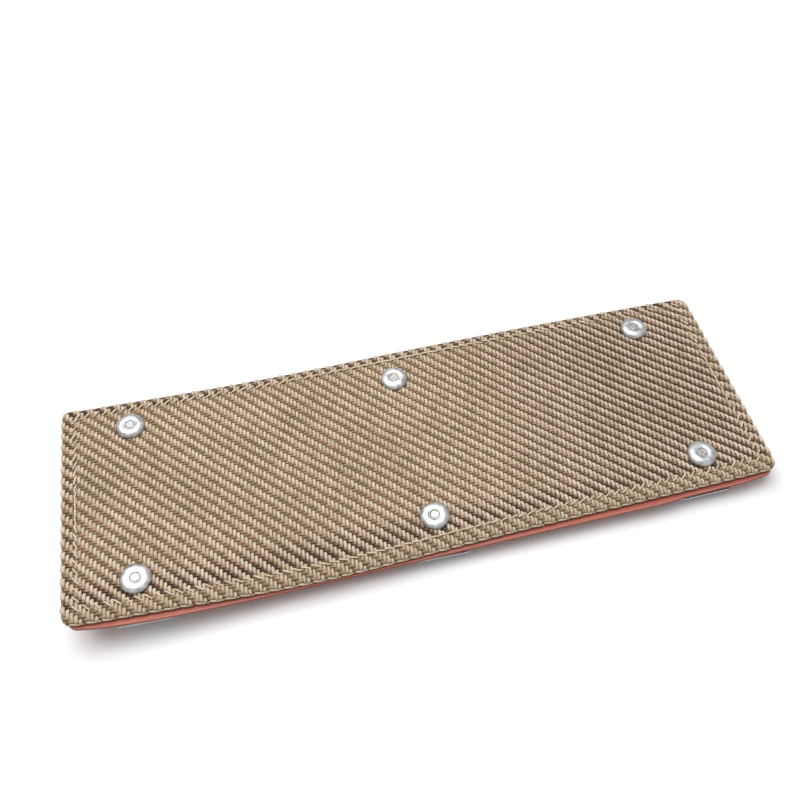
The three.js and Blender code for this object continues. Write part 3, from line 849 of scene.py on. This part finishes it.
class HEATSHIELD_OT_backing(Operator):
    """Build the red backing cloth with its turned edge"""

    bl_idname = "heatshield.backing"
    bl_label = "Backing"

    def execute(self, context):
        corner = CORNER_RADIUS
        xs = grid_lines(PAD_LENGTH / 2 - 2.0 * MM - corner, np.array([0, 1.5]) * MM, 3 * MM)
        ys = grid_lines(PAD_WIDTH / 2 + 0.8 * MM - corner, np.array([0, 1.5]) * MM, 3 * MM)
        middle = BACKING_BOTTOM + BACKING_THICKNESS / 2
        bulge = BACKING_THICKNESS / 2
        rings = [(0.0, middle + bulge), (corner - 2 * bulge, middle + bulge)]
        for angle in np.linspace(90, -90, 13):
            turn = math.radians(angle)
            rings.append((corner - bulge + bulge * math.cos(turn), middle + bulge * math.sin(turn)))
        rings += [(corner - 2 * bulge, middle - bulge), (0.0, middle - bulge)]
        backing = pad_shell("backing_cloth", xs, ys, rings, slab_place)
        points = points_of(backing)
        # rim and at_edge place the painted highlight and shade round the fold
        height = points[:, 2] - curl(points[:, 0]) - middle
        paint(backing, "rim", 0.5 + 0.5 * height / bulge)
        paint(backing, "at_edge", ramp(1 - np.abs(height / bulge), 0.0, 0.1))
        backing.data.materials.append(backing_material(context.scene.heatshield))
        finish_piece(backing, "silicone_coated_cloth", "backing_sheet")
        return {"FINISHED"}


class HEATSHIELD_OT_batt(Operator):
    """Build the needled batt between cover and backing"""

    bl_idname = "heatshield.batt"
    bl_label = "Batt"

    def execute(self, context):
        inset = HEM_WIDTH + 0.3 * MM
        corner = 3 * MM
        xs = grid_lines(PAD_LENGTH / 2 - inset - corner, np.array([0, 1.5]) * MM, 4 * MM)
        ys = grid_lines(PAD_WIDTH / 2 - inset - corner, np.array([0, 1.5]) * MM, 4 * MM)
        middle = (BATT_TOP + BATT_BOTTOM) / 2
        bulge = (BATT_TOP - BATT_BOTTOM) / 2
        rings = [(0.0, middle + bulge)]
        for angle in np.linspace(90, -90, 7):
            turn = math.radians(angle)
            rings.append((corner - bulge + bulge * math.cos(turn), middle + bulge * math.sin(turn)))
        rings.append((0.0, middle - bulge))
        batt = pad_shell("batt_filling", xs, ys, rings, lambda flat: slab_place(flat, cover_bow))
        batt.data.materials.append(batt_material())
        finish_piece(batt, "glass_batt", "insulation_batt")
        return {"FINISHED"}


def spun(name, profile, segments):
    """A turned shape from (radius, height) points, with its poles closed."""
    vertices = []
    faces = []
    for radius, height in profile:
        for k in range(segments):
            turn = 2 * math.pi * k / segments
            vertices.append((radius * math.cos(turn), radius * math.sin(turn), height))
    rings = len(profile)
    for ring in range(rings):
        following = (ring + 1) % rings
        for k in range(segments):
            other = (k + 1) % segments
            faces.append((ring * segments + k, ring * segments + other,
                          following * segments + other, following * segments + k))
    return cleaned(new_object(name, vertices, faces))


def arc(centre, radii, start, end, steps):
    """Points of an elliptic arc, in degrees."""
    angles = np.radians(np.linspace(start, end, steps))
    return [(centre[0] + radii[0] * math.cos(a), centre[1] + radii[1] * math.sin(a)) for a in angles]


class HEATSHIELD_OT_rivets(Operator):
    """Build the six dome-head blind rivets and the mandrel stubs left in them"""

    bl_idname = "heatshield.rivets"
    bl_label = "Rivets"

    def execute(self, context):
        segments = context.scene.heatshield.round_segments
        top = HEAD_BOTTOM + HEAD_HEIGHT
        crown = 3.45 * MM
        head = [(SHANK_RADIUS, HEAD_BOTTOM), (HEAD_RADIUS - 0.25 * MM, HEAD_BOTTOM)]
        lip = 0.25 * MM
        head += arc((HEAD_RADIUS - lip, HEAD_BOTTOM + lip), (lip, lip), -60, 20, 5)
        head += arc((crown, HEAD_BOTTOM + HEAD_RIM), (HEAD_RADIUS - crown, HEAD_HEIGHT - HEAD_RIM),
                    8, 90, 16)
        # The crown dishes gently towards the bore
        head += [(3.2 * MM, top - 0.03 * MM), (2.9 * MM, top - 0.13 * MM), (2.5 * MM, top - 0.25 * MM),
                 (2.2 * MM, top - 0.30 * MM)]
        bore = [(BORE_RADIUS + 0.03 * MM, top - 0.36 * MM), (BORE_RADIUS, top - 0.6 * MM)]
        blind_bottom = BLIND_TOP - BLIND_LENGTH
        blind = [(BORE_RADIUS, blind_bottom)]
        blind += arc((BLIND_RADIUS - 1.2 * MM, blind_bottom + BLIND_LENGTH / 2),
                     (1.2 * MM, BLIND_LENGTH / 2), -90, 90, 13)
        blind += [(SHANK_RADIUS, BLIND_TOP)]
        stub_top = top - STUB_DEPTH
        stub = [(0.0, blind_bottom - 1.4 * MM)]
        stub += arc((0.0, blind_bottom - 0.3 * MM), (3.0 * MM, 1.1 * MM), -70, 0, 7)
        stub += [(STUB_RADIUS, blind_bottom - 0.3 * MM), (STUB_RADIUS, stub_top - 0.45 * MM)]
        stub += [(STUB_RADIUS, stub_top - 0.1 * MM), (STUB_RADIUS - 0.12 * MM, stub_top),
                 (1.3 * MM, stub_top - 0.04 * MM), (0.6 * MM, stub_top - 0.12 * MM), (0.0, stub_top)]
        rivet_metal = metal_material(
            "upset_aluminium", "#A0A1A3", "#C4C5C7", 0.42, (420.0, 420.0, 420.0), 0.05 * MM)
        steel = metal_material(
            "broken_steel_mandrel", "#8A8886", "#B4B2AF", 0.45, (900.0, 900.0, 900.0), 0.15 * MM)
        pieces = (
            ("blind_rivets", head + bore + blind, rivet_metal, "rivet_aluminium", "rivet"),
            ("mandrel_stubs", stub, steel, "mandrel_steel", "mandrel"))
        tilt = left_station()[1]
        front, rear = left_rivet(-RIVET_Y), left_rivet(RIVET_Y)
        for name, profile, metal, slot, node in pieces:
            sizes = {
                "Spacing": (RIVET_X, 2 * RIVET_Y, 0.0),
                "First rivet": (-RIVET_X, -RIVET_Y, BACKING_BOTTOM),
                "Left front rivet": tuple(front), "Left pair": tuple(rear - front),
                "Left tilt": (0.0, -tilt, 0.0), "Base": (0.0, 0.0, -BACKING_BOTTOM), "Material": metal}
            tree, given, result = node_tree(name, sizes)
            size = given.outputs
            index = add(tree, "GeometryNodeInputIndex").outputs[0]
            column = add(tree, "FunctionNodeIntegerMath", {0: index, 1: 2}, operation="DIVIDE")
            side = add(tree, "FunctionNodeIntegerMath", {0: index, 1: 2}, operation="MODULO")
            place = add(tree, "ShaderNodeCombineXYZ", {"X": column.outputs[0], "Y": side.outputs[0]})
            spot = add(tree, "ShaderNodeVectorMath", {
                0: place.outputs[0], 1: size["Spacing"], 2: size["First rivet"]},
                operation="MULTIPLY_ADD")
            # The left pair lies and leans with its strap, which follows the pad's curl
            share = add(tree, "ShaderNodeCombineXYZ", {
                "X": side.outputs[0], "Y": side.outputs[0], "Z": side.outputs[0]})
            left_spot = add(tree, "ShaderNodeVectorMath", {
                0: share.outputs[0], 1: size["Left pair"], 2: size["Left front rivet"]},
                operation="MULTIPLY_ADD")
            is_left = add(tree, "ShaderNodeMath", {0: column.outputs[0], 1: 0.5},
                          operation="LESS_THAN").outputs[0]
            chosen = add(tree, "ShaderNodeMix", {
                "Factor": is_left, 4: spot.outputs[0], 5: left_spot.outputs[0]}, data_type="VECTOR")
            facing = add(tree, "ShaderNodeVectorMath", {0: size["Left tilt"], "Scale": is_left},
                         operation="SCALE")
            spots = add(tree, "GeometryNodePoints", {"Count": 6, "Position": chosen.outputs[1]})
            lowered = add(tree, "GeometryNodeTransform", {
                "Geometry": given.outputs["Geometry"], "Translation": size["Base"]})
            placed = add(tree, "GeometryNodeInstanceOnPoints", {
                "Points": spots.outputs[0], "Instance": lowered.outputs[0],
                "Rotation": facing.outputs[0]})
            end_tree(tree, placed, size, result)
            obj = made_plain(spun(name, profile, segments), tree, sizes)
            nodes = [f"{node}_{where}_{end}" for where in ("left", "middle", "right")
                     for end in ("front", "rear")]
            finish_piece(obj, slot, *nodes)
        return {"FINISHED"}


class HEATSHIELD_OT_straps(Operator):
    """Give the three straps their finish"""

    bl_idname = "heatshield.straps"
    bl_label = "Straps"

    def execute(self, context):
        # Cold-rolled strip: faint rolling lines run along it, which is across the pad
        metal = metal_material(
            "rolled_stainless_strip", "#A9ABAE", "#C9CBCD", 0.26, (2200.0, 60.0, 2200.0), 0.02 * MM)
        for name in ("left_strap", "middle_strap", "right_strap"):
            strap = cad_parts[name]
            strap.data.materials.clear()
            strap.data.materials.append(metal)
        return {"FINISHED"}


class HEATSHIELD_OT_stage(Operator):
    """Build the floor, the lamps and the camera"""

    bl_idname = "heatshield.stage"
    bl_label = "Stage"

    def execute(self, context):
        scene = context.scene
        half = 3.0
        corners = [(-half, -half, 0), (half, -half, 0), (half, half, 0), (-half, half, 0)]
        floor = new_object("floor", corners, [(0, 1, 2, 3)])
        material, tree, shader, spot = new_material("white_paper", 1.0)
        shader.inputs["Base Color"].default_value = linear("#F4F4F4")
        shader.inputs["Specular IOR Level"].default_value = 0.0
        light = add(tree, "ShaderNodeLightPath")
        seen = add(tree, "ShaderNodeMath", {
            0: light.outputs["Is Camera Ray"], 1: light.outputs["Is Glossy Ray"]}, operation="MAXIMUM")
        shown = add(tree, "ShaderNodeMath", {
            0: seen.outputs[0], 1: light.outputs["Is Transmission Ray"]}, operation="MAXIMUM")
        # The paper fades to plain white away from the pad, past the reach of its shadow
        away = add(tree, "ShaderNodeVectorMath", {0: spot}, operation="LENGTH")
        glow = add(tree, "ShaderNodeMapRange", {
            "Value": away.outputs["Value"], "From Min": 0.22, "From Max": 0.7,
            "To Min": 0.03, "To Max": 1.0}, interpolation_type="SMOOTHSTEP")
        level = add(tree, "ShaderNodeMath", {
            0: shown.outputs[0], 1: glow.outputs[0]}, operation="MULTIPLY")
        shader.inputs["Emission Color"].default_value = (1.0, 1.0, 1.0, 1.0)
        tree.links.new(level.outputs[0], shader.inputs["Emission Strength"])
        floor.data.materials.append(material)

        world = bpy.data.worlds.new("soft_white")
        world.use_nodes = True
        sky = world.node_tree
        sky.nodes.clear()
        light = add(sky, "ShaderNodeLightPath")
        mirrored = add(sky, "ShaderNodeMath", {
            0: light.outputs["Is Glossy Ray"], 1: 0.7}, operation="MULTIPLY")
        seen = add(sky, "ShaderNodeMath", {
            0: light.outputs["Is Camera Ray"], 1: mirrored.outputs[0]}, operation="MAXIMUM")
        level = add(sky, "ShaderNodeMapRange", {"Value": seen.outputs[0], "To Min": 0.27, "To Max": 1.0})
        background = add(sky, "ShaderNodeBackground", {
            "Color": (1.0, 1.0, 1.0, 1.0), "Strength": level.outputs[0]})
        add(sky, "ShaderNodeOutputWorld", {"Surface": background.outputs[0]})
        scene.world = world

        for name, energy, size, place in (
                ("key_lamp", 9.0, 0.8, (-0.12, 0.14, 0.83)),
                ("fill_lamp", 0.6, 0.9, (0.5, -0.6, 0.8))):
            lamp = bpy.data.lights.new(name, "AREA")
            lamp.energy = energy
            lamp.size = size
            holder = bpy.data.objects.new(name, lamp)
            holder.location = place
            holder.rotation_mode = "QUATERNION"
            holder.rotation_quaternion = Vector(place).to_track_quat("Z", "Y")
            scene.collection.objects.link(holder)

        azimuth, elevation = math.radians(CAMERA_AZIMUTH), math.radians(CAMERA_ELEVATION)
        roll = math.radians(CAMERA_ROLL)
        back = Vector((math.sin(azimuth) * math.cos(elevation),
                       -math.cos(azimuth) * math.cos(elevation), math.sin(elevation)))
        right = Vector((math.cos(azimuth), math.sin(azimuth), 0.0))
        up = back.cross(right)
        turned_right = math.cos(roll) * right + math.sin(roll) * up
        turned_up = math.cos(roll) * up - math.sin(roll) * right
        lens = bpy.data.cameras.new("camera")
        lens.lens = CAMERA_LENS
        lens.sensor_width = 36.0
        lens.clip_start = 0.01
        camera = bpy.data.objects.new("camera", lens)
        place = Vector(CAMERA_TARGET) + CAMERA_DISTANCE * back
        turn = Matrix((turned_right, turned_up, back)).transposed().to_4x4()
        camera.matrix_world = Matrix.Translation(place) @ turn
        scene.collection.objects.link(camera)
        scene.camera = camera

        scene.view_settings.view_transform = "Standard"
        return {"FINISHED"}


class HEATSHIELD_OT_declare(Operator):
    """A step that does nothing: no piece is said to be cloth or filling."""

    bl_idname = "heatshield.declare"
    bl_label = "Cloth and filling"

    def execute(self, context):
        return {"FINISHED"}


BUILD_ORDER = (
    HEATSHIELD_OT_ground, HEATSHIELD_OT_yarns, HEATSHIELD_OT_stitching, HEATSHIELD_OT_backing,
    HEATSHIELD_OT_batt, HEATSHIELD_OT_rivets, HEATSHIELD_OT_straps, HEATSHIELD_OT_declare,
    HEATSHIELD_OT_stage)


class HEATSHIELD_PT_panel(Panel):
    """Lists the shield's pieces in the sidebar"""

    bl_idname = "HEATSHIELD_PT_panel"
    bl_label = "Heat Shield"
    bl_space_type = "VIEW_3D"
    bl_region_type = "UI"
    bl_category = "Heat Shield"

    def draw(self, context):
        settings = context.scene.heatshield
        for name in settings.__annotations__:
            self.layout.prop(settings, name)
        for operator in BUILD_ORDER:
            self.layout.operator(operator.bl_idname)


CLASSES = (HEATSHIELD_PG_settings, *BUILD_ORDER, HEATSHIELD_PT_panel)


def register():
    for cls in CLASSES:
        bpy.utils.register_class(cls)
    bpy.types.Scene.heatshield = PointerProperty(type=HEATSHIELD_PG_settings)


def unregister():
    del bpy.types.Scene.heatshield
    for cls in reversed(CLASSES):
        bpy.utils.unregister_class(cls)


def main():
    register()
    bpy.ops.heatshield.ground()
    bpy.ops.heatshield.yarns()
    bpy.ops.heatshield.stitching()
    bpy.ops.heatshield.backing()
    bpy.ops.heatshield.batt()
    bpy.ops.heatshield.rivets()
    bpy.ops.heatshield.straps()
    bpy.ops.heatshield.declare()
    bpy.ops.heatshield.stage()


if __name__ == "__main__":
    main()
